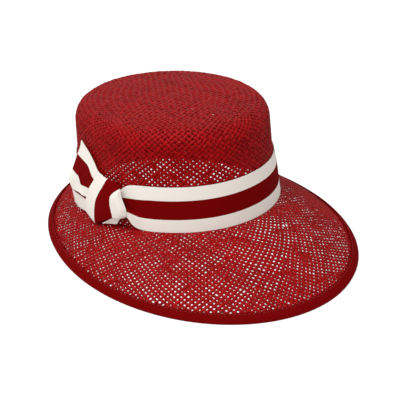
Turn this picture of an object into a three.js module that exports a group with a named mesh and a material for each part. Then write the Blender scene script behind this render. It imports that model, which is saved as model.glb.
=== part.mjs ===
// A woven straw sun hat with an oval crown, a brim that is wide in front and narrow behind, a ribbon folded
// over the brim's edge, and a striped ribbon band with a knot and one tail on the wearer's right side.
// Millimetres, +Z up, the front is -Y and the wearer's right is -X. The origin is on the floor, under the
// middle of the brim's outline. An azimuth is in degrees from the front towards the wearer's right.
import * as THREE from "three";

// Head line: the oval where crown and brim meet, on a plane whose front is raised
const HEAD = { halfWidth: 86, halfLength: 100.6, tilt: 6.5, height: 29.2, behindMiddle: 35.7 };
// Crown: heights are square to the head line's plane
const CROWN = { height: 92.3, wall: 1.5, shoulder: 19.5, squareness: 2.36, tipRise: 5 };
// Brim: its outline on the floor, and fall, the power by which it steepens from the crown to its edge
const BRIM = { halfWidth: 127.7, halfLength: 157.8, widestAhead: 3.9, wall: 1.2, fall: 1.25 };
// The brim's cut edge, inside the folded ribbon: its distance in from the outline, and its top face's height
const CUT_EDGE = { inset: 1.8, top: 2.7 };
const BINDING = { width: 7.5, noseHeight: 1.7 };
const RIBBON_WALL = 1.1;
// How far the pinched band stands off the crown under the knot
const PINCHED_STAND = 0.8;
// The clear space between pieces that touch
const GAP = 0.35;
const STEPS_ROUND = 60;

// How the crown's wall draws in as it rises
const CROWN_WALL = [
  { height: 0, scale: 1 },
  { height: 24, scale: 0.981 },
  { height: 47, scale: 0.956 },
  { height: 68, scale: 0.95 },
];

// The band's lower and upper edge above the head line, and how far it stands off the crown, round the hat.
// It is pinched under the knot.
const BAND_EDGES = [
  { azimuth: 0, low: 0.7, high: 40.3, stand: 0.35 },
  { azimuth: 53, low: 0.7, high: 40.3, stand: 0.35 },
  { azimuth: 57, low: 2.5, high: 39.5, stand: PINCHED_STAND },
  { azimuth: 61, low: 8, high: 38, stand: 1.4 },
  { azimuth: 65, low: 12, high: 36.5, stand: PINCHED_STAND },
  { azimuth: 82, low: 10, high: 38, stand: PINCHED_STAND },
  { azimuth: 89, low: 3.5, high: 39.5, stand: 1.4 },
  { azimuth: 97, low: 0.9, high: 40.3, stand: 1.6 },
  { azimuth: 116, low: 0.9, high: 40.3, stand: 1.2 },
  { azimuth: 130, low: 0.7, high: 40.3, stand: 0.35 },
  { azimuth: 360, low: 0.7, high: 40.3, stand: 0.35 },
];

// The knot's upright sections from its front side to its back side: bulge is how far it stands out
const KNOT_SECTIONS = [
  { azimuth: 63.5, low: 14, high: 34, bulge: 1.5 },
  { azimuth: 65.5, low: 11, high: 36.5, bulge: 5 },
  { azimuth: 69, low: 7.5, high: 38.5, bulge: 6.5 },
  { azimuth: 74, low: 3.5, high: 41, bulge: 7 },
  { azimuth: 79, low: 1, high: 43, bulge: 6.5 },
  { azimuth: 83, low: 1, high: 43.5, bulge: 3.5 },
];

// The tail's sections from the knot to its cut end: its upper and lower edge, and the middle's extra stand
const TAIL_SECTIONS = [
  { topAzimuth: 83.4, top: 42, topStand: 3.2, lowAzimuth: 83.4, low: 18, lowStand: 3.2, belly: 1 },
  { topAzimuth: 88, top: 50, topStand: 3.4, lowAzimuth: 91, low: 18, lowStand: 5.5, belly: 1.5 },
  { topAzimuth: 93, top: 58, topStand: 3.4, lowAzimuth: 98, low: 19, lowStand: 7.5, belly: 1.5 },
  { topAzimuth: 98, top: 65.5, topStand: 3, lowAzimuth: 106, low: 26, lowStand: 10.5, belly: 1 },
];

const STRAW_RED = new THREE.MeshStandardMaterial({ color: 0x9c1f24, roughness: 0.75, metalness: 0 });
const RIBBON_RED = new THREE.MeshStandardMaterial({ color: 0x78060a, roughness: 0.7, metalness: 0 });
const RIBBON_WHITE = new THREE.MeshStandardMaterial({ color: 0xece4da, roughness: 0.7, metalness: 0 });

const radians = THREE.MathUtils.degToRad;

// The value of a table's column at a place between its rows
function between(table, key, column, at) {
  const next = Math.max(1, table.findIndex((row) => row[key] >= at));
  const low = table[next - 1];
  const high = table[next];
  const part = THREE.MathUtils.clamp((at - low[key]) / (high[key] - low[key]), 0, 1);
  return THREE.MathUtils.lerp(low[column], high[column], part);
}

// A point of an oval, moved out along the oval's normal
function onOval(azimuth, halfWidth, halfLength, out) {
  const angle = radians(azimuth);
  const point = new THREE.Vector2(-halfWidth * Math.sin(angle), -halfLength * Math.cos(angle));
  const normal = new THREE.Vector2(point.x / halfWidth ** 2, point.y / halfLength ** 2).normalize();
  return point.addScaledVector(normal, out);
}

// A point that stands out from the crown's wall, in the head line's frame
function onCrown(azimuth, height, out) {
  const scale = between(CROWN_WALL, "height", "scale", height);
  const point = onOval(azimuth, HEAD.halfWidth * scale, HEAD.halfLength * scale, out);
  return new THREE.Vector3(point.x, point.y, height);
}

// The frame that carries the crown, the band and the bow: the head line's plane, raised in front
const headFrame = new THREE.Group();
headFrame.position.set(0, HEAD.behindMiddle, HEAD.height);
headFrame.rotation.x = radians(-HEAD.tilt);
headFrame.updateMatrix();

// A closed body whose section goes round the hat. The lathe gives the faces, and place moves each row of the
// section to its own place at each azimuth.
function roundTheHat(section, azimuths, place) {
  const rows = section.map((_, index) => new THREE.Vector2(1, index));
  const geometry = new THREE.LatheGeometry(rows, azimuths.length);
  const position = geometry.getAttribute("position");
  for (let index = 0; index < position.count; index += 1) {
    const azimuth = azimuths[Math.floor(index / section.length) % azimuths.length];
    const spot = place(azimuth, section[index % section.length]);
    position.setXYZ(index, spot.x, spot.y, spot.z);
  }
  geometry.deleteAttribute("uv");
  geometry.computeVertexNormals();
  return geometry;
}

// A closed body through sections of equal length. Each one runs down its outer face and up its inner face.
function lofted(sections) {
  const size = sections[0].length;
  const faces = [];
  const quad = (a, b, c, d) => faces.push(a, c, b, a, d, c);
  for (let ring = 0; ring < sections.length - 1; ring += 1) {
    for (let side = 0; side < size; side += 1) {
      const next = (side + 1) % size;
      quad(ring * size + side, ring * size + next, (ring + 1) * size + next, (ring + 1) * size + side);
    }
  }
  const last = (sections.length - 1) * size;
  for (let side = 0; side < size / 2 - 1; side += 1) {
    const across = size - 1 - side;
    quad(side, across, across - 1, side + 1);
    quad(last + side, last + side + 1, last + across - 1, last + across);
  }
  const geometry = new THREE.BufferGeometry().setFromPoints(sections.flat());
  geometry.setIndex(faces);
  geometry.computeVertexNormals();
  return geometry;
}

const EVEN_AZIMUTHS = Array.from({ length: STEPS_ROUND }, (_, step) => (360 * step) / STEPS_ROUND);

// The crown's outer profile from the middle of the tip down to the rim: radius at the side, and height
function crownProfile() {
  const wallTop = CROWN.height - CROWN.tipRise - CROWN.shoulder;
  const wallRadius = (height) => HEAD.halfWidth * between(CROWN_WALL, "height", "scale", height);
  const power = 2 / CROWN.squareness;
  const shoulder = [82, 66, 52, 38, 24, 10].map((degrees) => {
    const drawnIn = CROWN.shoulder * (1 - Math.cos(radians(degrees)) ** power);
    const height = wallTop + CROWN.shoulder * Math.sin(radians(degrees)) ** power;
    return new THREE.Vector2(wallRadius(wallTop) - drawnIn, height);
  });
  const tipEdge = shoulder[0];
  const tip = [0, 0.25, 0.5, 0.75].map((part) => {
    const height = THREE.MathUtils.lerp(CROWN.height, tipEdge.y, part ** 2);
    return new THREE.Vector2(tipEdge.x * part, height);
  });
  const wall = [wallTop, 47, 36, 24, 12, GAP].map((height) => new THREE.Vector2(wallRadius(height), height));
  return [...tip, ...shoulder, ...wall];
}

// The same profile moved in by the wall, with its ends kept on the axis and on the rim's plane
function insideOf(profile, wall) {
  const last = profile.length - 1;
  return profile.map((point, index) => {
    const before = profile[Math.max(index - 1, 0)];
    const after = profile[Math.min(index + 1, last)];
    const inward = new THREE.Vector2(after.y - before.y, before.x - after.x).normalize();
    const inside = point.clone().addScaledVector(inward, wall);
    return new THREE.Vector2(index === 0 ? 0 : inside.x, index === last ? point.y : inside.y);
  });
}

function crown() {
  const outer = crownProfile();
  const section = [...outer, ...insideOf(outer, CROWN.wall).toReversed()];
  const place = (azimuth, row) => {
    const point = onOval(azimuth, row.x, (row.x * HEAD.halfLength) / HEAD.halfWidth, 0);
    return new THREE.Vector3(point.x || 0, point.y || 0, row.y);
  };
  return roundTheHat(section, EVEN_AZIMUTHS, place);
}

// A point of the brim's outline on the floor, moved in from it
function onOutline(azimuth, inset) {
  const ahead = Math.cos(radians(azimuth)) > 0 ? -BRIM.widestAhead : BRIM.widestAhead;
  const point = onOval(azimuth, BRIM.halfWidth, BRIM.halfLength + ahead, -inset);
  return point.setY(point.y - BRIM.widestAhead);
}

// The brim's top face: part is 0 at the inside of the crown's rim and 1 at the brim's cut edge
function onBrim(azimuth, part) {
  const inner = onOval(azimuth, HEAD.halfWidth, HEAD.halfLength, -CROWN.wall);
  const start = new THREE.Vector3(inner.x, inner.y, 0).applyMatrix4(headFrame.matrix);
  const end = onOutline(azimuth, CUT_EDGE.inset);
  const x = THREE.MathUtils.lerp(start.x, end.x, part);
  const y = THREE.MathUtils.lerp(start.y, end.y, part);
  const z = THREE.MathUtils.lerp(start.z, CUT_EDGE.top, part ** BRIM.fall);
  return new THREE.Vector3(x, y, z);
}

// The brim's directions at a point: down its slope, and square to it
function brimFrame(azimuth, part) {
  const small = 0.01;
  const slope = onBrim(azimuth, part + small).sub(onBrim(azimuth, Math.max(part - small, 0))).normalize();
  const round = onBrim(azimuth + small, part).sub(onBrim(azimuth - small, part));
  const normal = new THREE.Vector3().crossVectors(round, slope).normalize();
  return { slope, normal };
}

function brim() {
  const parts = [0, 0.06, 0.2, 0.4, 0.6, 0.8, 1];
  const top = parts.map((part) => ({ part, depth: 0 }));
  const under = parts.map((part) => ({ part, depth: BRIM.wall }));
  const section = [...top, ...under.toReversed(), top[0]];
  const place = (azimuth, row) => {
    const { normal } = brimFrame(azimuth, row.part);
    return onBrim(azimuth, row.part).addScaledVector(normal, -row.depth);
  };
  return roundTheHat(section, EVEN_AZIMUTHS, place);
}

// The ribbon folded over the brim's edge. Rows with along and lift lie from the cut edge, down the slope and
// square to it. Rows with inset and level lie from the outline and the floor, and two of them make the flat
// ring that the hat rests on.
function binding() {
  const under = -BRIM.wall - GAP;
  const section = [
    { along: -BINDING.width, lift: GAP },
    { along: -BINDING.width, lift: GAP + RIBBON_WALL },
    { along: -BINDING.width / 2, lift: GAP + RIBBON_WALL },
    { along: 0, lift: RIBBON_WALL },
    { inset: 0, level: BINDING.noseHeight },
    { inset: 0.7, level: 0 },
    { inset: 2.6, level: 0 },
    { along: -BINDING.width, lift: under - RIBBON_WALL },
    { along: -BINDING.width, lift: under },
    { along: GAP, lift: under },
    { along: GAP, lift: GAP },
  ];
  const place = (azimuth, row) => {
    if ("inset" in row) {
      const point = onOutline(azimuth, row.inset);
      return new THREE.Vector3(point.x, point.y, row.level);
    }
    const { slope, normal } = brimFrame(azimuth, 1);
    return onBrim(azimuth, 1).addScaledVector(slope, row.along).addScaledVector(normal, row.lift);
  };
  return roundTheHat([...section, section[0]], EVEN_AZIMUTHS, place);
}

function hatBand() {
  const rowAzimuths = BAND_EDGES.map((row) => row.azimuth).filter((azimuth) => azimuth < 360);
  const azimuths = [...new Set([...EVEN_AZIMUTHS, ...rowAzimuths])].sort((a, b) => a - b);
  const parts = [0, 0.33, 0.67, 1];
  const outer = parts.map((part) => ({ part, out: RIBBON_WALL }));
  const inner = parts.map((part) => ({ part, out: 0 }));
  const section = [...inner, ...outer.toReversed(), inner[0]];
  const place = (azimuth, row) => {
    const edge = (column) => between(BAND_EDGES, "azimuth", column, azimuth);
    const height = THREE.MathUtils.lerp(edge("low"), edge("high"), row.part);
    return onCrown(azimuth, height, edge("stand") + row.out);
  };
  return roundTheHat(section, azimuths, place);
}

// The wound ribbon over the pinched band, rounded at its top and bottom
function bowKnot() {
  const seat = PINCHED_STAND + RIBBON_WALL + GAP;
  const outline = [
    { part: 1, bulge: 0.1 },
    { part: 0.93, bulge: 0.75 },
    { part: 0.7, bulge: 1 },
    { part: 0.3, bulge: 1 },
    { part: 0.07, bulge: 0.75 },
    { part: 0, bulge: 0.1 },
  ];
  const sections = KNOT_SECTIONS.map(({ azimuth, low, high, bulge }) => {
    const height = (part) => THREE.MathUtils.lerp(low, high, part);
    const stand = (row) => seat + RIBBON_WALL + bulge * row.bulge;
    const outer = outline.map((row) => onCrown(azimuth, height(row.part), stand(row)));
    const inner = outline.map((row) => onCrown(azimuth, height(row.part), seat));
    return [...outer, ...inner.toReversed()];
  });
  return lofted(sections);
}

// The free end of the ribbon: a thin wall that widens and lifts away from the crown
function bowTail() {
  const parts = [0, 0.33, 0.67, 1];
  const sections = TAIL_SECTIONS.map((row) => {
    const face = (thickness) =>
      parts.map((part) => {
        const azimuth = THREE.MathUtils.lerp(row.topAzimuth, row.lowAzimuth, part);
        const height = THREE.MathUtils.lerp(row.top, row.low, part);
        const stand = THREE.MathUtils.lerp(row.topStand, row.lowStand, part);
        return onCrown(azimuth, height, stand + row.belly * Math.sin(Math.PI * part) + thickness);
      });
    return [...face(RIBBON_WALL), ...face(0).toReversed()];
  });
  return lofted(sections);
}

function named(name, geometry, material) {
  const mesh = new THREE.Mesh(geometry, material);
  mesh.name = name;
  return mesh;
}

headFrame.add(named("crown", crown(), STRAW_RED));
headFrame.add(named("hat_band", hatBand(), RIBBON_WHITE));
headFrame.add(named("bow_knot", bowKnot(), RIBBON_RED));
headFrame.add(named("bow_tail", bowTail(), RIBBON_WHITE));

const hat = new THREE.Group();
hat.add(headFrame);
hat.add(named("brim", brim(), STRAW_RED));
hat.add(named("brim_binding", binding(), RIBBON_RED));

export default hat;
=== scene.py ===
# The looks of a woven straw sun hat: its open weave, its ribbon-bound edge, and its striped band and bow.
# Lengths are worked out in millimetres and become metres when a mesh is made. The front is -Y, the
# wearer's right is -X, and an azimuth is in degrees from the front towards the wearer's right.
import math

import bpy
import numpy as np
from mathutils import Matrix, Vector


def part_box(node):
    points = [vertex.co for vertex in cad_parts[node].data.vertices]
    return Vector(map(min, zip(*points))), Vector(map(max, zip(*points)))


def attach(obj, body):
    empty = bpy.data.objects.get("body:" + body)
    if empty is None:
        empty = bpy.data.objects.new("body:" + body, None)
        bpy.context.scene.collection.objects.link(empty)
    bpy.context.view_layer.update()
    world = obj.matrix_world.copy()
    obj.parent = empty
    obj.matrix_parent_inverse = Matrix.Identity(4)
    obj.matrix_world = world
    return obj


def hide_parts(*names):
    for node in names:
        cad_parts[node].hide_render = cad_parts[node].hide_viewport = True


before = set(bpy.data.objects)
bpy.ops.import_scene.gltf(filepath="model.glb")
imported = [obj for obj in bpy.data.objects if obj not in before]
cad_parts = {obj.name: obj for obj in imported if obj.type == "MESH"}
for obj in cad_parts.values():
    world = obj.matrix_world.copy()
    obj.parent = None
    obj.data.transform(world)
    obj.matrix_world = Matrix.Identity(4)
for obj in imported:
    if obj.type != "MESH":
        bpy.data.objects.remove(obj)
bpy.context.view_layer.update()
MM = 0.001

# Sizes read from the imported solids: half the head line's width, and half the outline's width and length
_, crown_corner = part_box("crown")
_, edge_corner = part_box("brim_binding")
HALF_WIDTH = crown_corner[0] / MM
OUTLINE_WIDTH = edge_corner[0] / MM
OUTLINE_LENGTH = edge_corner[1] / MM

# Sizes of the straw body, as its solids have them
HALF_LENGTH = 100.6
HEAD_TILT = math.radians(6.5)
HEAD_HEIGHT = 29.2
HEAD_BEHIND = 35.7
CROWN_HEIGHT = 92.3
SHOULDER = 19.5
SQUARENESS = 2.36
TIP_RISE = 5.0
CROWN_WALL = 1.5
WIDEST_AHEAD = 3.9
BRIM_WALL = 1.2
BRIM_FALL = 1.25
CUT_INSET = 1.8
CUT_TOP = 2.7

# How the crown's wall draws in as it rises
WALL_HEIGHTS = (0, 24, 47, 68)
WALL_SCALES = (1, 0.981, 0.956, 0.95)

# The crown's profile: how far up the shoulder the dome begins, in degrees, and each part's points
DOME_BEGINS = 82
TIP_POINTS = 20
SHOULDER_POINTS = 30
WALL_POINTS = 40

# The weave: the distance between holes along a row, the distance from row to row at different ways down
# from the tip's middle, how far the square weave reaches, how uneven the work is, and the flat strands
HOLE_SPACING = 5.4
STEP_WAYS = (52, 74, 120, 175, 215)
ROW_STEPS = (3.1, 2.3, 2.25, 2.4, 2.5)
TIP_REACH = 58
SQUARE_REACH = 95
CORNERS = 4
FIRST_AZIMUTH = 34
UNEVEN_PLACE = 0.25
UNEVEN_WAY = 0.2
TIP_LOOSENESS = 1.6
CROWN_FILL = 0.86
BRIM_FILL = 0.8
STRAND_UNEVEN = 0.15
STRAND_THICKNESS = 0.7
STRAND_LIFT = 0.38
STRAND_SIDES = 6
STRAND_ENDS_SHORT = 0.8
SEED = 7

# A bent strand's bend lies this part of a row's step below the row before, and its two ends take these
# places in the gap. From row to row, the first bend is this part of a turn further on, so that the bends
# don't line up.
BEND_BELOW = 0.2
BEND_PLACES = (0.32, 0.68)
GOLDEN_PART = 0.618034

# A square's mean distance from its middle, all round, where its corners are at 1
MEAN_SQUARE = math.sqrt(2) * math.log(1 + math.sqrt(2)) * 2 / math.pi

# Azimuths over a little more than two turns, half a degree apart, to measure along a row
RULER = np.linspace(-200, 560, 1521)


def on_oval(azimuth, half_width, half_length, out=0.0):
    """A point on an oval, or a distance out from it."""
    angle = np.radians(azimuth)
    point = np.stack([-half_width * np.sin(angle), -half_length * np.cos(angle)], -1)
    normal = point / np.stack([half_width**2 + 0 * angle, half_length**2 + 0 * angle], -1)
    normal /= np.linalg.norm(normal, axis=-1, keepdims=True)
    return point + np.asarray(out)[..., None] * normal


def from_head_line(flat, height):
    """Points of the head line's frame, in the hat's frame: the plane's front is raised."""
    turn, rise = math.cos(HEAD_TILT), math.sin(HEAD_TILT)
    y = flat[..., 1] * turn + height * rise + HEAD_BEHIND
    z = height * turn - flat[..., 1] * rise + HEAD_HEIGHT
    return np.stack([flat[..., 0], y, z], -1)


def on_crown(azimuth, height, stand):
    """A point that stands out from the crown's wall."""
    azimuth, height, stand = np.broadcast_arrays(
        np.asarray(azimuth, float), np.asarray(height, float), np.asarray(stand, float)
    )
    scale = np.interp(height, WALL_HEIGHTS, WALL_SCALES)
    return from_head_line(on_oval(azimuth, HALF_WIDTH * scale, HALF_LENGTH * scale, stand), height)


def crown_profile():
    """The middle of the crown's wall from tip to head line: radius at the side, height, and way along."""
    wall_top = CROWN_HEIGHT - TIP_RISE - SHOULDER
    power = 2 / SQUARENESS
    turn = np.radians(np.linspace(DOME_BEGINS, 0, SHOULDER_POINTS))
    radius_top = HALF_WIDTH * WALL_SCALES[-1]
    shoulder_radius = radius_top - SHOULDER * (1 - np.cos(turn) ** power)
    shoulder_height = wall_top + SHOULDER * np.sin(turn) ** power
    part = np.linspace(0, 1, TIP_POINTS)[:-1]
    tip_height = CROWN_HEIGHT + (shoulder_height[0] - CROWN_HEIGHT) * part**2
    wall_height = np.linspace(wall_top, 0, WALL_POINTS)[1:]
    wall_radius = HALF_WIDTH * np.interp(wall_height, WALL_HEIGHTS, WALL_SCALES)
    radius = np.concatenate([shoulder_radius[0] * part, shoulder_radius, wall_radius])
    height = np.concatenate([tip_height, shoulder_height, wall_height])
    down = np.gradient(height)
    out = np.gradient(radius)
    size = np.hypot(down, out)
    radius_mid = np.maximum(radius + down / size * CROWN_WALL / 2, 0)
    height_mid = height - out / size * CROWN_WALL / 2
    height_mid[-1] = 0
    stretch = (1 + HALF_LENGTH / HALF_WIDTH) / 2
    step = np.hypot(np.diff(radius_mid) * stretch, np.diff(height_mid))
    return radius_mid, height_mid, np.concatenate([[0], np.cumsum(step)])


PROFILE_RADIUS, PROFILE_HEIGHT, PROFILE_WAY = crown_profile()
HEAD_LINE = PROFILE_WAY[-1]


def on_outline(azimuth, inset):
    """A point of the hat's outline, seen from above, or in from it. It is widest ahead of its middle."""
    azimuth = np.asarray(azimuth, float)
    ahead = np.where(np.cos(np.radians(azimuth)) > 0, -WIDEST_AHEAD, WIDEST_AHEAD)
    point = on_oval(azimuth, OUTLINE_WIDTH, OUTLINE_LENGTH + ahead, -inset)
    return point - np.array([0, WIDEST_AHEAD])


def on_brim(azimuth, part, inset=CUT_INSET, top=CUT_TOP):
    """The brim's top face: part is 0 at the head line and 1 at the cut edge."""
    azimuth = np.asarray(azimuth, float)
    part = np.asarray(part, float)
    start = from_head_line(on_oval(azimuth, HALF_WIDTH, HALF_LENGTH, -CROWN_WALL / 2), 0 * azimuth)
    end = on_outline(azimuth, inset)
    flat = start[..., :2] + (end - start[..., :2]) * part[..., None]
    level = start[..., 2] + (top - start[..., 2]) * np.abs(part) ** BRIM_FALL
    return np.concatenate([flat, level[..., None]], -1)


def brim_reach(azimuth):
    """The brim's breadth along its slope at each azimuth."""
    return np.linalg.norm(on_brim(azimuth, np.ones_like(azimuth)) - on_brim(azimuth, 0 * azimuth), axis=-1)


def straw(azimuth, way):
    """The middle of the straw at a way along it from the tip's middle, over the crown and down the brim."""
    azimuth, way = np.broadcast_arrays(np.asarray(azimuth, float), np.asarray(way, float))
    scale = np.interp(way, PROFILE_WAY, PROFILE_RADIUS) / HALF_WIDTH
    height = np.interp(way, PROFILE_WAY, PROFILE_HEIGHT)
    angle = np.radians(azimuth)
    flat = np.stack([-HALF_WIDTH * scale * np.sin(angle), -HALF_LENGTH * scale * np.cos(angle)], -1)
    crown = from_head_line(flat, height)
    part = np.maximum(way - HEAD_LINE, 0) / brim_reach(azimuth)
    brim = on_brim(azimuth, part, CUT_INSET, CUT_TOP - BRIM_WALL / 2)
    return np.where((way <= HEAD_LINE)[..., None], crown, brim)


def straw_normal(azimuth, way):
    """The straw's outward direction, which is never far below level."""
    small, smallest_way, lowest = 0.4, 3.0, -0.2
    turn = np.degrees(small / np.maximum(way, smallest_way))
    across = straw(azimuth + turn, way) - straw(azimuth - turn, way)
    along = straw(azimuth, way + small) - straw(azimuth, np.maximum(way - small, 0))
    normal = np.cross(across, along)
    normal /= np.linalg.norm(normal, axis=-1, keepdims=True)
    return np.where(normal[..., 2:3] < lowest, -normal, normal)


def row_step(way):
    """Distance from one row of crossings to the next: most on the square tip, least on the wall."""
    return float(np.interp(way, STEP_WAYS, ROW_STEPS))


def along_row(azimuths, way):
    """A row's way from the tip's middle at each azimuth. The first rows are square and become level."""
    turn = np.radians(azimuths - FIRST_AZIMUTH) + math.pi / CORNERS
    square = 1 / (np.abs(np.cos(turn)) + np.abs(np.sin(turn)))
    return way * (1 + max(1 - way / SQUARE_REACH, 0) * (square / MEAN_SQUARE - 1))


def on_row(azimuths, way):
    """A row's points in the straw's middle."""
    return straw(azimuths, along_row(azimuths, way))


def row_ruler(way):
    """Azimuths and the distance along a row to each, to change one into the other."""
    steps = np.linalg.norm(np.diff(on_row(RULER, way), axis=0), axis=-1)
    return RULER, np.concatenate([[0], np.cumsum(steps)])


def stepped_down(azimuths, way, next_way):
    """The azimuths that lie straight down the surface, on the next row, from the ones given on this row."""
    start = on_row(azimuths, way)
    small = 0.1
    for _ in range(3):
        point = on_row(azimuths, next_way)
        along = (on_row(azimuths + small, next_way) - on_row(azimuths - small, next_way)) / (2 * small)
        azimuths = azimuths - ((point - start) * along).sum(-1) / (along**2).sum(-1)
    return azimuths


def weave_strands():
    """The strands of a diagonal plain weave that grows from the tip's middle, as lists of crossings.
    Strands of the one family turn right as they go down and strands of the other turn left. On the tip each
    row gets a new strand at each of four corners, which makes it a square weave. Further down, a bent strand
    is laid in where a row has become too wide, and its two ends join the two families."""
    rng = np.random.default_rng(SEED)
    azimuths = FIRST_AZIMUTH + np.arange(CORNERS) * 360 / CORNERS
    way = row_step(0)
    last_way = HEAD_LINE + brim_reach(np.array([0.0]))[0] + HOLE_SPACING
    right = [[] for _ in azimuths]
    left = [[] for _ in azimuths]
    for index, azimuth in enumerate(azimuths):
        middle = (azimuth + 180 / CORNERS, way * math.cos(math.pi / CORNERS), 0.0)
        left[index].append(middle)
        right[(index + 1) % CORNERS].append(middle)
    families = (list(right), list(left))
    row = 0
    while way < last_way:
        on_tip = way < TIP_REACH
        looseness = TIP_LOOSENESS if on_tip else 1
        lift = STRAND_LIFT if row % 2 else -STRAND_LIFT
        ways = along_row(azimuths, way) + rng.normal(0, UNEVEN_WAY * looseness, len(azimuths))
        for index, place in enumerate(zip(azimuths, ways)):
            right[index].append((*place, lift))
            left[index].append((*place, -lift))
        next_way = way + row_step(way)
        following = np.append(azimuths[1:], azimuths[0] + 360)
        widths = np.linalg.norm(on_row(following, next_way) - on_row(azimuths, next_way), axis=-1)
        trimmed = next_way - HEAD_LINE > brim_reach(azimuths) + HOLE_SPACING
        need = np.where(trimmed, 0, np.maximum(widths / HOLE_SPACING - 1, 0))
        wanted = max(int(round((widths / HOLE_SPACING - 1)[~trimmed].sum())), 0)
        corners = range(0, len(azimuths), len(azimuths) // CORNERS)
        laid_in = set(corners if on_tip else places_for(wanted, need, row))
        new_azimuths, new_right, new_left = [], [], []
        for index in range(len(azimuths)):
            before, after = azimuths[index], following[index]
            other = (index + 1) % len(azimuths)
            if index not in laid_in:
                new_azimuths.append((before + after) / 2)
                new_right.append(right[index])
                new_left.append(left[other])
                continue
            middle = (before + after) / 2
            bend_way = next_way if on_tip else way + BEND_BELOW * row_step(way)
            bend = (middle, along_row(middle, bend_way), 0.0)
            to_right, to_left = [bend], [bend]
            families[0].append(to_right)
            families[1].append(to_left)
            new_azimuths += [before + (after - before) * part for part in BEND_PLACES]
            new_right += [right[index], to_right]
            new_left += [to_left, left[other]]
        azimuths = stepped_down(np.array(new_azimuths), way, next_way)
        azimuths -= 360 * np.round(azimuths[0] / 360)
        ruler = row_ruler(next_way)
        round_it = np.interp(360, *ruler) - np.interp(0, *ruler)
        places = evened(np.interp(azimuths, *ruler), round_it, on_tip)
        places += rng.normal(0, UNEVEN_PLACE * looseness, len(places))
        azimuths = np.interp(places, ruler[1], ruler[0])
        right, left, way, row = new_right, new_left, next_way, row + 1
    return families


def places_for(count, need, row):
    """Which gaps of a row get a new strand: spread round the hat by how much each part of it needs."""
    if count < 1 or need.sum() == 0:
        return []
    order = np.roll(np.arange(len(need)), -int(row * GOLDEN_PART * len(need)))
    total = np.cumsum(need[order])
    marks = (np.arange(count) + 0.5) * total[-1] / count
    return order[np.searchsorted(total, marks)]


def evened(places, round_it, wholly):
    """The places of a row, spaced alike, or else each drawn towards the middle of its two neighbours."""
    if wholly:
        alike = np.arange(len(places)) * round_it / len(places)
        return alike + (places - alike).mean()
    for _ in range(3):
        before = np.concatenate([places[-1:] - round_it, places[:-1]])
        after = np.concatenate([places[1:], places[:1] + round_it])
        places = 0.5 * places + 0.25 * (before + after)
    return places


def straw_frame(azimuth, part):
    """At the brim's cut edge: a point, the way down the slope, and the normal."""
    small_part, small_turn = 0.02, 0.3
    azimuth = np.asarray(azimuth, float)
    level = part + 0 * azimuth
    point = on_brim(azimuth, level)
    slope = point - on_brim(azimuth, part - small_part + 0 * azimuth)
    slope /= np.linalg.norm(slope, axis=-1, keepdims=True)
    across = on_brim(azimuth + small_turn, level) - on_brim(azimuth - small_turn, level)
    normal = np.cross(across, slope)
    normal /= np.linalg.norm(normal, axis=-1, keepdims=True)
    return point, slope, np.where(normal[..., 2:3] < 0, -normal, normal)


def strand_points(crossings, steps):
    """A strand's line through its crossings: azimuth, way and lift, with steps points to a crossing."""
    azimuth, way, lift = (np.array(column) for column in zip(*crossings))
    turn = (np.diff(azimuth) + 180) % 360 - 180
    azimuth = np.concatenate([azimuth[:1], azimuth[0] + np.cumsum(turn)])
    at = np.arange((len(azimuth) - 1) * steps + 1) / steps
    index = np.minimum(at.astype(int), len(azimuth) - 2)
    part = at - index
    smooth = (1 - np.cos(np.pi * part)) / 2

    def mixed(values, share):
        return values[index] * (1 - share) + values[index + 1] * share

    return mixed(azimuth, part), mixed(way, part), mixed(lift, smooth)


def mark(mesh, name, values):
    """Gives a mesh's points a number or a direction each, for its Geometry Nodes and its material."""
    values = np.asarray(values, np.float32)
    kind, field = ("FLOAT_VECTOR", "vector") if values.ndim == 2 else ("FLOAT", "value")
    attribute = mesh.attributes.new(name, kind, "POINT")
    attribute.data.foreach_set(field, values.ravel())


def shown(name, data):
    """A mesh, light or camera as an object of the scene, at the origin."""
    obj = bpy.data.objects.new(name, data)
    bpy.context.collection.objects.link(obj)
    return obj


def placed(obj, node, material=None):
    """Lets a piece stand for its node, on the hat's one body."""
    if material:
        obj.data.materials.append(material)
    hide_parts(node)
    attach(obj, "root")


def strand_lines(name, family, from_way, to_way, steps, row_step_meant):
    """A mesh of edges, one chain for each strand, that lies between two ways from the tip's middle."""
    rng = np.random.default_rng(SEED + len(family))
    points, normals, tones, widths, raised, edges = [], [], [], [], [], []
    count = 0
    for crossings in family:
        tone = rng.random()
        kept = [c for c in crossings if from_way <= c[1] <= to_way]
        reach = [brim_reach(np.array([c[0]]))[0] - STRAND_ENDS_SHORT for c in kept]
        kept = [c for c, most in zip(kept, reach) if c[1] - HEAD_LINE < most]
        if len(kept) < 2:
            continue
        azimuth, way, lift = strand_points(kept, steps)
        normal = straw_normal(azimuth, way)
        points.append(straw(azimuth, way) + normal * lift[:, None])
        normals.append(normal)
        # How high each point rides in the weave, which the straw's colour turns into painted shade and light
        raised.append(lift / STRAND_LIFT)
        tones += [tone] * len(azimuth)
        uneven = rng.normal(1, STRAND_UNEVEN, len(kept))
        base = rng.normal(1, STRAND_UNEVEN / 2)
        uneven = np.interp(np.arange(len(azimuth)) / steps, np.arange(len(kept)), uneven)
        wider = np.sqrt(np.interp(way, STEP_WAYS, ROW_STEPS) / row_step_meant)
        widths.append(base * uneven * wider)
        edges += [(count + step, count + step + 1) for step in range(len(azimuth) - 1)]
        count += len(azimuth)
    mesh = bpy.data.meshes.new(name)
    mesh.from_pydata((np.concatenate(points) * MM).tolist(), edges, [])
    mark(mesh, "surface_normal", np.concatenate(normals))
    mark(mesh, "tone", tones)
    mark(mesh, "raised", np.concatenate(raised))
    mark(mesh, "breadth", np.concatenate(widths))
    return shown(name, mesh)


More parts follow.
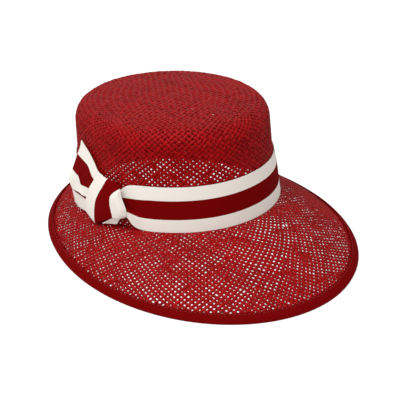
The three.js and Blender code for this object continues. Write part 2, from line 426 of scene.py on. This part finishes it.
def add(tree, kind, inputs=None, **settings):
    """Adds a node, sets its settings, and fills its inputs with values or links."""
    node = tree.nodes.new(kind)
    for key, value in settings.items():
        setattr(node, key, value)
    for key, value in (inputs or {}).items():
        if isinstance(value, bpy.types.NodeSocket):
            tree.links.new(value, node.inputs[key])
        else:
            node.inputs[key].default_value = value
    return node


def linear(hex_colour):
    """An sRGB hex colour as linear RGBA."""
    parts = [int(hex_colour[index : index + 2], 16) / 255 for index in (1, 3, 5)]
    return [c / 12.92 if c <= 0.04045 else ((c + 0.055) / 1.055) ** 2.4 for c in parts] + [1]


def geometry_group(name, sizes):
    """A Geometry Nodes group with a geometry in and out, and a named input for each size."""
    tree = bpy.data.node_groups.new(name, "GeometryNodeTree")
    tree.interface.new_socket("Geometry", in_out="INPUT", socket_type="NodeSocketGeometry")
    for size in sizes:
        tree.interface.new_socket(size, in_out="INPUT", socket_type="NodeSocketFloat")
    tree.interface.new_socket("Geometry", in_out="OUTPUT", socket_type="NodeSocketGeometry")
    return tree, tree.nodes.new("NodeGroupInput"), tree.nodes.new("NodeGroupOutput")


def lines_in_surface(tree, given):
    """The given edges as curves that keep the surface's own normals."""
    normal = add(
        tree,
        "GeometryNodeInputNamedAttribute",
        {"Name": "surface_normal"},
        data_type="FLOAT_VECTOR",
    )
    curve = add(tree, "GeometryNodeMeshToCurve", {"Mesh": given.outputs["Geometry"]})
    laid = add(tree, "GeometryNodeSetCurveNormal", {"Curve": curve.outputs["Curve"]}, mode="FREE")
    tree.links.new(normal.outputs["Attribute"], laid.inputs["Normal"])
    return laid.outputs["Curve"]


def end_group(tree, geometry, material, out):
    """Ends a group with a whole, smooth mesh in its material."""
    whole = add(tree, "GeometryNodeRealizeInstances", {"Geometry": geometry})
    smooth = add(tree, "GeometryNodeSetShadeSmooth", {"Geometry": whole.outputs["Geometry"]})
    coloured = add(
        tree,
        "GeometryNodeSetMaterial",
        {"Geometry": smooth.outputs["Geometry"], "Material": material},
    )
    tree.links.new(coloured.outputs["Geometry"], out.inputs["Geometry"])


def strand_group(material):
    """Gives each line a flat, closed strand that lies in the surface."""
    tree, given, out = geometry_group("flat_strand", ["Width", "Thickness"])
    line = lines_in_surface(tree, given)
    breadth = add(tree, "GeometryNodeInputNamedAttribute", {"Name": "breadth"}, data_type="FLOAT")
    sized = add(
        tree,
        "GeometryNodeSetCurveRadius",
        {"Curve": line, "Radius": breadth.outputs["Attribute"]},
    )
    ring = add(tree, "GeometryNodeCurvePrimitiveCircle", {"Resolution": STRAND_SIDES, "Radius": 0.5})
    # How far each point of the ring lies from the strand's middle, across it; the straw's colour uses it for
    # painted shade at the edges
    place = add(tree, "GeometryNodeInputPosition")
    parts = add(tree, "ShaderNodeSeparateXYZ", {"Vector": place.outputs["Position"]})
    off = add(tree, "ShaderNodeMath", {0: parts.outputs["Y"]}, operation="ABSOLUTE")
    marked = add(
        tree,
        "GeometryNodeStoreNamedAttribute",
        {"Geometry": ring.outputs["Curve"], "Name": "edge", "Value": off.outputs["Value"]},
        data_type="FLOAT",
        domain="POINT",
    )
    size = add(
        tree,
        "ShaderNodeCombineXYZ",
        {"X": given.outputs["Thickness"], "Y": given.outputs["Width"], "Z": 1.0},
    )
    flat = add(
        tree,
        "GeometryNodeTransform",
        {"Geometry": marked.outputs["Geometry"], "Scale": size.outputs["Vector"]},
    )
    swept = add(
        tree,
        "GeometryNodeCurveToMesh",
        {
            "Curve": sized.outputs["Curve"],
            "Profile Curve": flat.outputs["Geometry"],
            "Scale": breadth.outputs["Attribute"],
            "Fill Caps": True,
        },
    )
    end_group(tree, swept.outputs["Mesh"], material, out)
    return tree


def grown(obj, tree, sizes):
    """Runs a Geometry Nodes group on an object and keeps the result as its plain mesh."""
    modifier = obj.modifiers.new(tree.name, "NODES")
    modifier.node_group = tree
    for item in tree.interface.items_tree:
        if item.item_type == "SOCKET" and item.in_out == "INPUT" and item.name in sizes:
            modifier[item.identifier] = sizes[item.name]
    evaluated = obj.evaluated_get(bpy.context.evaluated_depsgraph_get())
    mesh = bpy.data.meshes.new_from_object(evaluated)
    obj.modifiers.clear()
    obj.data = mesh


# The straw's fibre, and how much a strand's own tone changes its colour. Then painted shade and light: the
# colour is lighter where a strand rides over and darker where it dips under, and darker towards its edges
FIBRE_LENGTH = 1.5
FIBRE_RELIEF = 0.2
TONE_SHARE = 0.4
HEIGHT_SHADE_SHARE = 0.25
EDGE_SHADE_SHARE = -0.15


def straw_material():
    """Twisted paper straw, dyed and varnished. The eye sees satin strands whose gloss takes the dye's red,
    each a little lighter or darker than the next, with fine fibre in them. The fibre is drawn 1.5 mm long,
    so that it shows."""
    material = bpy.data.materials.new("dyed_paper_straw")
    material.use_nodes = True
    tree = material.node_tree
    tree.nodes.clear()
    place = add(tree, "ShaderNodeTexCoord")
    tone = add(tree, "ShaderNodeAttribute", attribute_name="tone")
    fibre = add(
        tree,
        "ShaderNodeTexNoise",
        {"Vector": place.outputs["Object"], "Scale": 1 / (FIBRE_LENGTH * MM), "Detail": 2.0},
    )
    raised = add(tree, "ShaderNodeAttribute", attribute_name="raised")
    spread = add(
        tree,
        "ShaderNodeMath",
        {0: tone.outputs["Fac"], 1: TONE_SHARE, 2: fibre.outputs["Fac"]},
        operation="MULTIPLY_ADD",
    )
    # Painted shade and light: the colour is lighter where the strand rides over and darker where it dips
    # under
    mixed = add(
        tree,
        "ShaderNodeMath",
        {0: raised.outputs["Fac"], 1: HEIGHT_SHADE_SHARE, 2: spread.outputs["Value"]},
        operation="MULTIPLY_ADD",
    )
    edge = add(tree, "ShaderNodeAttribute", attribute_name="edge")
    # Painted shade: the colour is darker towards the strand's edges, beside the gaps in the weave
    edge_shaded = add(
        tree,
        "ShaderNodeMath",
        {0: edge.outputs["Fac"], 1: EDGE_SHADE_SHARE, 2: mixed.outputs["Value"]},
        operation="MULTIPLY_ADD",
    )
    ramp = add(tree, "ShaderNodeValToRGB", {"Fac": edge_shaded.outputs["Value"]})
    ramp.color_ramp.elements[0].position = 0.15
    ramp.color_ramp.elements[0].color = linear("#5A0001")
    ramp.color_ramp.elements[1].position = 1.0
    ramp.color_ramp.elements[1].color = linear("#9C0406")
    bump = add(
        tree,
        "ShaderNodeBump",
        {"Height": fibre.outputs["Fac"], "Strength": 0.25, "Distance": FIBRE_RELIEF * MM},
    )
    shader = add(
        tree,
        "ShaderNodeBsdfPrincipled",
        {
            "Base Color": ramp.outputs["Color"],
            "Roughness": 0.38,
            "Specular IOR Level": 0.4,
            "Specular Tint": linear("#FF7478"),
            "Normal": bump.outputs["Normal"],
        },
    )
    add(tree, "ShaderNodeOutputMaterial", {"Surface": shader.outputs["BSDF"]})
    return material


def straw_body():
    """The woven crown and brim, one piece for each family of strands. A strand's width is a part, its fill,
    of the spacing that the weave has there."""
    tree = strand_group(straw_material())
    crown_step, brim_step = ROW_STEPS[2], ROW_STEPS[-1]
    crown_end = HEAD_LINE + HOLE_SPACING / 2
    parts = (
        ("crown", 0, crown_end, 2, crown_step, CROWN_FILL),
        ("brim", HEAD_LINE, math.inf, 3, brim_step, BRIM_FILL),
    )
    for side, family in zip(("right", "left"), weave_strands()):
        for node, from_way, to_way, steps, row, fill in parts:
            piece = strand_lines(f"{node}_strands_{side}", family, from_way, to_way, steps, row)
            width = math.sqrt(HOLE_SPACING * row) * fill * MM
            grown(piece, tree, {"Width": width, "Thickness": STRAND_THICKNESS * MM})
            placed(piece, node)


# The striped ribbon: where across it each stripe begins and ends, and the thickness of its cloth. Then how
# many steps of mesh it has in each stripe and between two rows of a table, the least angle of a crease in
# degrees, and its ribs.
STRIPES = (0, 0.29, 0.71, 1)
RIBBON_CLOTH = 0.6
RIBBON_STEPS = 7
FOLD_STEPS = 6
END_STEPS = 3
CLOTH_CREASE = 50
RIB_PITCH = 0.75
RIB_RELIEF = 0.08

# Each table has one row of the ribbon after another. A row gives, for each of a few places across the
# ribbon, the azimuth, the height on the crown's wall, and how far the outer face stands out from it. The
# band's rows have one azimuth each, then the heights, then how far out.
KNOT_PLACES = (0, 0.29, 0.55, 0.71, 0.86, 1)
TAIL_PLACES = (0, 0.15, 0.29, 0.71, 1)
BAND_PLACES = (0, 0.29, 0.40, 0.71, 1)
BAND_EDGE = (0.3, 11.8, 16.1, 28.4, 39.9)
BAND_FRONT = (-0.1, 11.1, 15.4, 27.6, 39.3)
BAND_STAND = (1.45, 1.45, 1.45, 1.35, 1.0)
BAND_ROWS = [
    (20, BAND_FRONT, BAND_STAND),
    (50, BAND_FRONT, BAND_STAND),
    (54, (0.1, 11.2, 15.5, 27.2, 39.2), (1.5, 1.5, 1.3, 1.3, 1.0)),
    (57, (0.7, 11.9, 15.0, 27.0, 39.0), (1.7, 2.4, 1.0, 1.3, 1.0)),
    (59.2, (2.2, 13.4, 15.2, 26.8, 38.8), (2.5, 3.4, 0.9, 1.3, 1.0)),
    (61, (5.0, 14.9, 15.8, 26.7, 38.5), (3.5, 4.4, 0.8, 1.2, 1.0)),
    (62.9, (11.6, 16.6, 17.0, 26.5, 37.8), (5.6, 5.8, 0.8, 1.1, 1.0)),
    (64.2, (12.6, 17.0, 17.6, 26.4, 37.0), (6.0, 6.0, 0.8, 1.1, 1.0)),
    (65.4, (12.8, 17.2, 18.0, 26.3, 35.6), (5.5, 5.5, 1.0, 1.2, 2.4)),
    (66.5, (13.0, 17.5, 19.0, 26.8, 33.8), (4.4, 4.4, 2.0, 2.6, 4.2)),
    (69, (13.5, 18.0, 20.5, 27.5, 34.5), (3.8, 3.8, 3.2, 3.8, 4.0)),
    (75, (12.0, 17.0, 20.0, 28.2, 37.2), (3.0, 3.0, 3.0, 3.0, 3.0)),
    (82, (9.0, 16.0, 19.3, 28.4, 38.0), (2.2, 2.2, 2.2, 2.2, 2.2)),
    (88, (4.0, 13.2, 17.2, 28.4, 39.2), (2.6, 2.7, 2.5, 2.2, 1.6)),
    (93, (1.4, 12.4, 16.7, 28.6, 39.9), (3.4, 3.5, 3.2, 2.4, 1.2)),
    (98, (0.9, 13.6, 17.2, 28.7, 40.2), (4.2, 5.0, 4.6, 3.0, 1.1)),
    (104, (0.8, 14.4, 18.0, 28.8, 40.3), (5.0, 6.8, 6.2, 3.4, 1.0)),
    (109, (0.8, 14.4, 18.0, 28.8, 40.3), (5.0, 7.2, 6.4, 3.2, 1.0)),
    (115, (0.8, 12.4, 16.6, 28.8, 40.2), (3.4, 4.4, 4.0, 2.2, 1.0)),
    (123, (0.5, 12.0, 16.3, 28.5, 40.0), (1.7, 1.7, 1.6, 1.5, 1.0)),
    (132, BAND_EDGE, BAND_STAND),
    (160, BAND_EDGE, BAND_STAND),
    (340, BAND_EDGE, BAND_STAND),
    (380, BAND_FRONT, BAND_STAND),
    (410, BAND_FRONT, BAND_STAND),
]

# Where the band's mesh has its rows: from one azimuth to another with a step, least where the knot pinches
BAND_STRETCHES = ((50, 56, 1), (56, 72, 0.5), (72, 130, 1.5), (130, 410, 3))

KNOT_ROWS = [
    (
        (84.2, 40.4, 1.0), (77.2, 36.8, 1.0), (71.2, 34.8, 1.0),
        (68.7, 32.2, 1.0), (68.2, 32.2, 1.0), (67.9, 32.2, 1.0),
    ),
    (
        (82.5, 43.8, 3.5), (75.0, 40.8, 4.5), (69.3, 39.3, 4.2),
        (67.1, 34.8, 4.0), (67.0, 34.4, 3.8), (66.9, 34.1, 3.5),
    ),
    (
        (85.2, 35.8, 5.0), (76.4, 35.8, 7.0), (71.8, 34.3, 7.6),
        (69.4, 32.0, 7.3), (66.4, 33.5, 8.6), (65.5, 31.9, 6.0),
    ),
    (
        (89.5, 25.8, 5.5), (80.1, 25.5, 8.0), (74.4, 26.6, 8.6),
        (71.6, 27.1, 8.2), (66.9, 28.7, 10.2), (64.8, 27.9, 6.5),
    ),
    (
        (92.5, 16.3, 5.5), (81.9, 18.4, 8.5), (75.1, 21.2, 9.0),
        (71.8, 22.1, 8.5), (66.1, 23.7, 10.5), (63.7, 23.0, 6.5),
    ),
    (
        (93.2, 3.8, 5.5), (83.0, 8.6, 8.5), (75.1, 13.8, 9.0),
        (71.2, 15.6, 8.5), (65.3, 18.7, 10.5), (62.7, 18.0, 6.5),
    ),
    (
        (88.7, 0.8, 6.5), (83.1, 3.1, 8.5), (74.8, 9.2, 8.8),
        (70.7, 11.7, 8.3), (65.3, 14.2, 10.0), (62.7, 13.9, 6.5),
    ),
    (
        (83.3, -2.1, 7.5), (82.9, -1.8, 7.8), (74.9, 5.1, 7.8),
        (70.6, 8.5, 7.8), (66.5, 9.9, 8.4), (64.0, 10.6, 6.0),
    ),
    (
        (82.6, -1.2, 4.0), (81.6, -1.0, 4.0), (74.9, 4.7, 4.4),
        (71.2, 7.6, 4.6), (68.1, 8.7, 4.6), (65.0, 10.0, 3.8),
    ),
]
TAIL_ROWS = [
    ((98.9, 64.4, 3.0), (99.8, 57.6, 4.2), (102.0, 50.8, 5.5), (105.7, 35.2, 8.5), (106.0, 26.6, 12.0)),
    ((91.8, 58.4, 3.0), (94.1, 53.8, 4.0), (96.7, 48.8, 5.0), (100.7, 33.6, 8.0), (105.3, 21.0, 10.5)),
    ((88.9, 54.6, 3.0), (91.1, 51.0, 3.9), (93.5, 47.4, 4.8), (98.6, 32.6, 7.5), (104.3, 17.5, 9.2)),
    ((86.5, 50.4, 3.0), (88.6, 48.0, 3.8), (91.0, 45.3, 4.5), (98.0, 29.8, 7.0), (98.1, 18.2, 8.0)),
    ((83.2, 43.7, 3.0), (85.5, 41.6, 3.8), (88.0, 39.0, 4.5), (97.0, 24.9, 6.0), (95.6, 16.5, 6.5)),
    ((79.2, 41.1, 3.0), (82.9, 37.8, 3.4), (86.0, 35.1, 3.8), (90.5, 24.9, 4.2), (93.6, 15.7, 4.5)),
    ((76.0, 38.0, 3.0), (78.1, 35.0, 3.1), (80.0, 32.0, 3.2), (82.0, 24.0, 3.2), (85.0, 15.5, 3.2)),
]

# The wrapped ribbon's end, turned under the knot, whose white edge just shows below it
UNDER_ROWS = [
    ((77.1, 0.9, 8.1), (77.2, 0.8, 7.8)),
    ((73.7, 5.0, 7.8), (75.1, 1.3, 6.4)),
    ((70.7, 8.5, 7.4), (72.7, 1.9, 5.6)),
    ((68.7, 9.0, 6.6), (70.7, 2.3, 5.0)),
    ((66.8, 9.3, 5.6), (69.6, 2.5, 4.6)),
]


def eased(keys, values, at):
    """A smooth line through the values that doesn't swing past them, at each place asked for."""
    keys, values = np.asarray(keys, float), np.asarray(values, float)
    keys = keys.reshape((-1,) + (1,) * (values.ndim - 1))
    slope = np.diff(values, axis=0) / np.diff(keys, axis=0)
    product = slope[1:] * slope[:-1]
    total = slope[1:] + slope[:-1]
    level = 2 * product / np.where(product > 0, total, 1)
    inner = np.where(product > 0, level, 0)
    tangent = np.concatenate([slope[:1], inner, slope[-1:]])
    flat = keys.ravel()
    index = np.clip(np.searchsorted(flat, at, "right") - 1, 0, len(flat) - 2)
    span = (flat[index + 1] - flat[index]).reshape((-1,) + (1,) * (values.ndim - 1))
    t = (np.asarray(at) - flat[index]).reshape(span.shape) / span
    first = (2 * t**3 - 3 * t**2 + 1) * values[index] + (t**3 - 2 * t**2 + t) * span * tangent[index]
    last = (3 * t**2 - 2 * t**3) * values[index + 1] + (t**3 - t**2) * span * tangent[index + 1]
    return first + last


def ribbon_rows(table, places, steps, across):
    """The points of a ribbon's outer face, rows by columns, eased between the table's points both ways."""
    rows = np.array(table, float)
    along = np.arange((len(rows) - 1) * steps + 1) / steps
    rows = eased(np.arange(len(table)), rows, along)
    columns = eased(places, rows.swapaxes(0, 1), across).swapaxes(0, 1)
    return on_crown(columns[..., 0], columns[..., 1], columns[..., 2])


def band_rows(azimuths, across):
    """The points of the band's outer face at each azimuth, all of them within the table's."""
    keys = [row[0] for row in BAND_ROWS]
    table = np.stack([[row[1] for row in BAND_ROWS], [row[2] for row in BAND_ROWS]], -1)
    rows = eased(keys, table, azimuths)
    columns = eased(BAND_PLACES, rows.swapaxes(0, 1), across).swapaxes(0, 1)
    return on_crown(np.array(azimuths)[:, None], columns[..., 0], columns[..., 1])


def stripe_places(steps):
    """Places across the ribbon, with the same number of steps in each stripe."""
    return np.interp(np.arange(3 * steps + 1) / steps, np.arange(4), STRIPES)


def cloth(name, face, across, wall, looped=False):
    """A closed piece of cloth from its outer face: rows by columns of points. Its UV map has metres along
    the ribbon and the part across it."""
    rows, columns = face.shape[:2]
    ahead = np.roll(face, -1, 0) - np.roll(face, 1, 0) if looped else np.gradient(face, axis=0)
    normal = np.cross(ahead, np.gradient(face, axis=1))
    normal /= np.linalg.norm(normal, axis=-1, keepdims=True)
    centre = np.array([0, HEAD_BEHIND, HEAD_HEIGHT])
    if (normal * (face - centre)).sum(-1).mean() < 0:
        normal = -normal
    back = face - normal * wall
    points = np.concatenate([face.reshape(-1, 3), back.reshape(-1, 3)])
    steps = np.linalg.norm(np.diff(face, axis=0), axis=-1).mean(-1)
    way = np.concatenate([[0], np.cumsum(steps)]) * MM
    faces, maps = [], []
    last = rows if looped else rows - 1

    def quad(corners):
        for row, column, side in corners:
            maps.append((way[row] if row < rows else way[-1] + way[1], across[column]))
        faces.append([(side * rows + row % rows) * columns + column for row, column, side in corners])

    for row in range(last):
        for column in range(columns - 1):
            ring = [(row, column), (row + 1, column), (row + 1, column + 1), (row, column + 1)]
            quad([corner + (0,) for corner in ring])
            quad([corner + (1,) for corner in reversed(ring)])
        for column in (0, columns - 1):
            edge = [(row, column, 0), (row, column, 1), (row + 1, column, 1), (row + 1, column, 0)]
            quad(edge if column == 0 else edge[::-1])
    if not looped:
        for column in range(columns - 1):
            for row in (0, rows - 1):
                end = [(row, column, 0), (row, column + 1, 0), (row, column + 1, 1), (row, column, 1)]
                quad(end if row == 0 else end[::-1])
    mesh = bpy.data.meshes.new(name)
    mesh.from_pydata((points * MM).tolist(), [], faces)
    layer = mesh.uv_layers.new(name="ribbon")
    layer.data.foreach_set("uv", np.array(maps, np.float32).ravel())
    first = mesh.polygons[: last * (columns - 1)]
    facing = np.array([polygon.normal[:] for polygon in first])
    middle = np.array([polygon.center[:] for polygon in first]) / MM - centre
    if (facing * middle).sum() < 0:
        mesh.flip_normals()
    mesh.shade_smooth()
    mesh.set_sharp_from_angle(angle=math.radians(CLOTH_CREASE))
    return shown(name, mesh)


def ribbon_material(name, red, white):
    """Grosgrain ribbon, woven with fine crosswise ribs, so it is matt and its stripes have clean edges. The
    ribs are 0.75 mm apart, as on the real one. Where a white is given, the ribbon is white on both sides of
    the red."""
    material = bpy.data.materials.new(name)
    material.use_nodes = True
    tree = material.node_tree
    tree.nodes.clear()
    place = add(tree, "ShaderNodeTexCoord")
    parts = add(tree, "ShaderNodeSeparateXYZ", {"Vector": place.outputs["UV"]})
    shader = add(tree, "ShaderNodeBsdfPrincipled", {"Roughness": 0.85, "Specular IOR Level": 0.04})
    if white:
        middle = (STRIPES[1] + STRIPES[2]) / 2
        half = (STRIPES[2] - STRIPES[1]) / 2
        off = add(tree, "ShaderNodeMath", {0: parts.outputs["Y"], 1: middle}, operation="SUBTRACT")
        far = add(tree, "ShaderNodeMath", {0: off.outputs["Value"]}, operation="ABSOLUTE")
        is_white = add(tree, "ShaderNodeMath", {0: far.outputs["Value"], 1: half}, operation="GREATER_THAN")
        colour = add(
            tree,
            "ShaderNodeMix",
            {"Factor": is_white.outputs["Value"], "A": linear(red), "B": linear(white)},
            data_type="RGBA",
        )
        tree.links.new(colour.outputs[2], shader.inputs["Base Color"])
    else:
        shader.inputs["Base Color"].default_value = linear(red)
    turn = add(
        tree,
        "ShaderNodeMath",
        {0: parts.outputs["X"], 1: 2 * math.pi / (RIB_PITCH * MM)},
        operation="MULTIPLY",
    )
    rib = add(tree, "ShaderNodeMath", {0: turn.outputs["Value"]}, operation="SINE")
    bump = add(
        tree,
        "ShaderNodeBump",
        {"Height": rib.outputs["Value"], "Strength": 0.2, "Distance": RIB_RELIEF * MM},
    )
    tree.links.new(bump.outputs["Normal"], shader.inputs["Normal"])
    add(tree, "ShaderNodeOutputMaterial", {"Surface": shader.outputs["BSDF"]})
    return material


# The edge ribbon, folded over the brim's cut edge: rows across it from its upper edge round to its lower
# one. A row is measured along the brim's slope and off it, or in from the outline and up from the floor.
EDGE_ROWS = [
    ("slope", -6.9, 1.25),
    ("slope", -6.4, 1.45),
    ("slope", -5.6, 1.15),
    ("slope", -4.6, 1.45),
    ("slope", -2.5, 1.5),
    ("slope", 0.0, 1.1),
    ("outline", 0.0, 1.7),
    ("outline", 0.7, 0.0),
    ("outline", 2.6, 0.0),
    ("slope", -5.0, -2.6),
    ("slope", -7.5, -2.5),
]

# The edge ribbon's cloth and cut, the azimuth from one row to the next, and its stitches: their row down
# the slope and off it, their length, the step from one to the next, and the thread
EDGE_CLOTH = 0.7
EDGE_STEP = 1.5
STITCH_ROW = -5.6
STITCH_HEIGHT = 1.3
STITCH_LENGTH = 2.7
STITCH_STEP = 4.0
THREAD = 0.5
TWIST_LENGTH = 1.0


def edge_ribbon_rows(azimuths):
    point, slope, normal = straw_frame(azimuths, 1.0)
    rows = []
    for kind, first, second in EDGE_ROWS:
        if kind == "slope":
            rows.append(point + slope * first + normal * second)
        else:
            flat = on_outline(azimuths, first)
            rows.append(np.concatenate([flat, np.full((len(azimuths), 1), second)], -1))
    return np.stack(rows, 1)


def stitch_group(material):
    """Lays one short thread after another along a closed line."""
    tree, given, out = geometry_group("running_stitches", ["Length", "Step", "Thread"])
    points = add(
        tree,
        "GeometryNodeCurveToPoints",
        {"Curve": lines_in_surface(tree, given), "Length": given.outputs["Step"]},
        mode="LENGTH",
    )
    ball = add(tree, "GeometryNodeMeshUVSphere", {"Segments": 6, "Rings": 5, "Radius": 0.5})
    size = add(
        tree,
        "ShaderNodeCombineXYZ",
        {"X": given.outputs["Thread"], "Y": given.outputs["Thread"], "Z": given.outputs["Length"]},
    )
    stitches = add(
        tree,
        "GeometryNodeInstanceOnPoints",
        {
            "Points": points.outputs["Points"],
            "Instance": ball.outputs["Mesh"],
            "Rotation": points.outputs["Rotation"],
            "Scale": size.outputs["Vector"],
        },
    )
    end_group(tree, stitches.outputs["Instances"], material, out)
    return tree


def thread_material():
    """Spun polyester sewing thread in the ribbon's red: it shines a little more than the ribbon does, and
    its twist gives it lighter and darker specks, drawn 1 mm long, so that they show."""
    material = bpy.data.materials.new("polyester_sewing_thread")
    material.use_nodes = True
    tree = material.node_tree
    shader = tree.nodes["Principled BSDF"]
    place = add(tree, "ShaderNodeTexCoord")
    twist = add(
        tree,
        "ShaderNodeTexNoise",
        {"Vector": place.outputs["Object"], "Scale": 1 / (TWIST_LENGTH * MM)},
    )
    ramp = add(tree, "ShaderNodeValToRGB", {"Fac": twist.outputs["Fac"]})
    ramp.color_ramp.elements[0].color = linear("#6E0508")
    ramp.color_ramp.elements[1].color = linear("#8E0D12")
    tree.links.new(ramp.outputs["Color"], shader.inputs["Base Color"])
    shader.inputs["Roughness"].default_value = 0.5
    return material


def brim_edge():
    azimuths = np.arange(0, 360, EDGE_STEP)
    across = np.linspace(0, 1, len(EDGE_ROWS))
    ribbon = cloth("edge_ribbon", edge_ribbon_rows(azimuths), across, EDGE_CLOTH, looped=True)
    dark_red = ribbon_material("binding_grosgrain_ribbon", "#6E0102", None)
    placed(ribbon, "brim_binding", dark_red)

    point, slope, normal = straw_frame(azimuths, 1.0)
    line = point + slope * STITCH_ROW + normal * STITCH_HEIGHT
    count = len(azimuths)
    edges = [(index, (index + 1) % count) for index in range(count)]
    mesh = bpy.data.meshes.new("edge_stitches")
    mesh.from_pydata((line * MM).tolist(), edges, [])
    mark(mesh, "surface_normal", normal)
    stitches = shown("edge_stitches", mesh)
    sizes = {"Length": STITCH_LENGTH * MM, "Step": STITCH_STEP * MM, "Thread": THREAD * MM}
    grown(stitches, stitch_group(thread_material()), sizes)
    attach(stitches, "root")


def ribbons():
    striped = ribbon_material("striped_grosgrain_ribbon", "#700001", "#E9E2D9")
    across = stripe_places(RIBBON_STEPS)
    azimuths = np.concatenate([np.arange(*stretch) for stretch in BAND_STRETCHES])
    band = cloth("hat_band_ribbon", band_rows(azimuths, across), across, RIBBON_CLOTH, looped=True)
    placed(band, "hat_band", striped)

    edge = np.linspace(0, STRIPES[1], END_STEPS + 1)
    face = ribbon_rows(UNDER_ROWS, (0, STRIPES[1]), END_STEPS, edge)
    end = cloth("bow_knot_end", face, edge, RIBBON_CLOTH)
    placed(end, "bow_knot", striped)
    face = ribbon_rows(KNOT_ROWS, KNOT_PLACES, FOLD_STEPS, across)
    knot = cloth("bow_knot_ribbon", face, across, RIBBON_CLOTH)
    placed(knot, "bow_knot", striped)

    face = ribbon_rows(TAIL_ROWS, TAIL_PLACES, FOLD_STEPS, across)
    tail = cloth("bow_tail_ribbon", face, across, RIBBON_CLOTH)
    placed(tail, "bow_tail", striped)


# The camera: a long lens in front and to the wearer's right, aimed so that the hat sits as in the photo
CAMERA_AZIMUTH = math.radians(-34.0)
CAMERA_ELEVATION = math.radians(28.41)
CAMERA_DISTANCE = 1.300
CAMERA_AIM = Vector((0.0117, 0.01643, 0.02256))
LENS = 130.5
SENSOR_WIDTH = 36

# The studio: a white floor just under the hat, one broad light on the left, and a white room, whose light
# on the left and right is multiplied by its light at the horizon and above
FLOOR_HALF = 8.0
FLOOR_DROP = 0.0002
KEY_PLACE = (-0.85, -0.1, 2.0)
KEY_SIZE = 0.9
KEY_POWER = 26
ROOM_SIDES = (1.2, 0.82)
ROOM_HEIGHTS = (0.15, 1.0)


def camera():
    data = bpy.data.cameras.new("camera")
    data.sensor_width = SENSOR_WIDTH
    data.lens = LENS
    data.clip_start = 0.05
    data.clip_end = 50
    obj = shown("camera", data)
    back = Vector(
        (
            math.sin(CAMERA_AZIMUTH) * math.cos(CAMERA_ELEVATION),
            -math.cos(CAMERA_AZIMUTH) * math.cos(CAMERA_ELEVATION),
            math.sin(CAMERA_ELEVATION),
        )
    )
    obj.location = CAMERA_AIM + back * CAMERA_DISTANCE
    obj.rotation_euler = back.to_track_quat("Z", "Y").to_euler()
    bpy.context.scene.camera = obj


def key_light():
    data = bpy.data.lights.new("key", "AREA")
    data.size = KEY_SIZE
    data.energy = KEY_POWER
    obj = shown("key", data)
    obj.location = KEY_PLACE
    obj.rotation_euler = Vector(KEY_PLACE).to_track_quat("Z", "Y").to_euler()


def floor():
    """A floor that glows as white as the photo's background. The straw's gloss doesn't mirror it."""
    material = bpy.data.materials.new("white_floor")
    material.use_nodes = True
    shader = material.node_tree.nodes["Principled BSDF"]
    shader.inputs["Base Color"].default_value = (0.15, 0.15, 0.15, 1)
    shader.inputs["Roughness"].default_value = 0.9
    shader.inputs["Emission Color"].default_value = (1, 1, 1, 1)
    shader.inputs["Emission Strength"].default_value = 0.95
    half = FLOOR_HALF
    corners = [(-half, -half, 0), (half, -half, 0), (half, half, 0), (-half, half, 0)]
    mesh = bpy.data.meshes.new("floor")
    mesh.from_pydata(corners, [], [(0, 1, 2, 3)])
    mesh.materials.append(material)
    obj = shown("floor", mesh)
    obj.location.z = -FLOOR_DROP
    obj.visible_glossy = False


def studio():
    """The room's light: brighter on the left than on the right, and brighter above than at the horizon."""
    world = bpy.data.worlds.new("studio")
    world.use_nodes = True
    background = world.node_tree.nodes["Background"]
    background.inputs["Color"].default_value = (1, 1, 1, 1)
    sky = add(world.node_tree, "ShaderNodeTexCoord")
    parts = add(world.node_tree, "ShaderNodeSeparateXYZ", {"Vector": sky.outputs["Generated"]})
    fall = add(
        world.node_tree,
        "ShaderNodeMapRange",
        {
            "Value": parts.outputs["X"],
            "From Min": -1.0,
            "From Max": 1.0,
            "To Min": ROOM_SIDES[0],
            "To Max": ROOM_SIDES[1],
        },
    )
    rise = add(
        world.node_tree,
        "ShaderNodeMapRange",
        {
            "Value": parts.outputs["Z"],
            "From Min": -0.1,
            "From Max": 1.0,
            "To Min": ROOM_HEIGHTS[0],
            "To Max": ROOM_HEIGHTS[1],
        },
    )
    strength = add(
        world.node_tree,
        "ShaderNodeMath",
        {0: fall.outputs["Result"], 1: rise.outputs["Result"]},
        operation="MULTIPLY",
    )
    world.node_tree.links.new(strength.outputs["Value"], background.inputs["Strength"])
    bpy.context.scene.world = world
    bpy.context.scene.view_settings.view_transform = "Standard"


camera()
floor()
studio()
key_light()
straw_body()
ribbons()
brim_edge()
